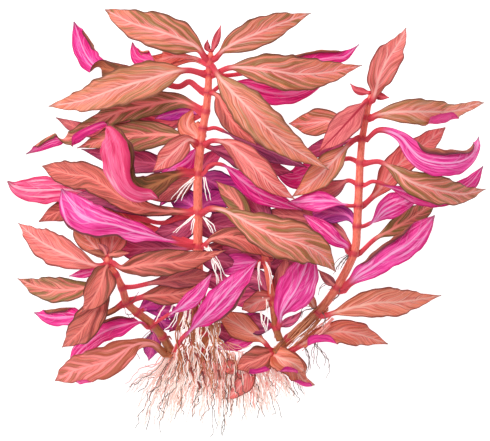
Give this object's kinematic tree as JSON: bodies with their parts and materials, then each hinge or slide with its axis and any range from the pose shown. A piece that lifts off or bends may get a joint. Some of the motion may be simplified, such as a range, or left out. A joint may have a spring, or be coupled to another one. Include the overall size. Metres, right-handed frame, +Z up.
{
  "type": "alternanthera plant",
  "caption": "Uprooted alternanthera bunch lying on its back: leafy red stems with long folded leaves, orange to olive above and pink beneath, on a creeping stem with a skirt of fine roots.",
  "frame": {"origin": "middle of the bunch's box, on the surface that it lies on", "axes": "+Y up the stems towards their growing tips, +X across the bunch, +Z up from the surface"},
  "size_m": [0.2414, 0.215, 0.0695],
  "materials": {
    "leaf_olive": "satin",
    "leaf_orange": "satin",
    "leaf_coral": "satin",
    "leaf_pink": "satin",
    "leaf_purple": "satin",
    "stem_red": "satin",
    "root_cream": "matte"
  },
  "bodies": {
    "root": {"stem_middle": "stem_red", "stem_right": "stem_red", "stem_left": "stem_red", "stem_short": "stem_red", "stem_creeping": "stem_red", "roots": "root_cream", "leaf_top_left": "leaf_orange", "leaf_top_right": "leaf_orange", "leaf_front_large": "leaf_orange", "leaf_shoulder_left": "leaf_orange", "leaf_shoulder_right": "leaf_olive", "leaf_under_right": "leaf_pink", "leaf_wavy_right": "leaf_pink", "leaf_fourth_left": "leaf_pink", "leaf_fifth_left": "leaf_olive", "leaf_sixth_left": "leaf_olive", "leaf_hanging": "leaf_coral", "leaf_sixth_right": "leaf_coral", "leaf_dark_right": "leaf_purple", "leaf_seventh_left": "leaf_pink", "leaf_seventh_right": "leaf_pink", "leaf_eighth_left": "leaf_orange", "leaf_eighth_right": "leaf_olive", "leaf_pink_far_left": "leaf_pink", "leaf_brown_low_left": "leaf_orange", "leaf_pink_broad": "leaf_pink", "leaf_ninth_right": "leaf_coral", "leaf_crest": "leaf_coral", "leaf_coral_front": "leaf_coral", "leaf_olive_left": "leaf_olive", "leaf_brown_right": "leaf_olive", "leaf_twisted_right": "leaf_pink", "leaf_orange_left": "leaf_orange", "leaf_olive_right": "leaf_olive", "leaf_magenta_right": "leaf_pink", "leaf_coral_behind": "leaf_coral", "leaf_pink_inner": "leaf_pink", "leaf_pink_middle": "leaf_pink", "leaf_brown_middle": "leaf_olive", "leaf_magenta_inner": "leaf_pink", "leaf_pink_low_right": "leaf_pink", "leaf_coral_low_right": "leaf_coral", "leaf_low_twist_right": "leaf_coral", "leaf_low_middle": "leaf_coral", "leaf_curled_left": "leaf_olive", "leaf_curled_right": "leaf_orange", "leaf_crown_left": "leaf_coral", "leaf_crown_right": "leaf_orange", "leaf_crown_front": "leaf_orange", "leaf_front_low": "leaf_orange", "leaf_olive_low_left": "leaf_olive", "leaf_brown_inner": "leaf_orange", "leaf_thin_pink": "leaf_pink", "leaf_hotpink_low": "leaf_pink", "leaf_coral_low_left": "leaf_coral", "leaf_pink_rising": "leaf_pink", "leaf_pink_large": "leaf_pink", "leaf_brown_rising": "leaf_olive", "leaf_magenta_large": "leaf_pink", "leaf_lowest": "leaf_coral"}
  },
  "joints": []
}
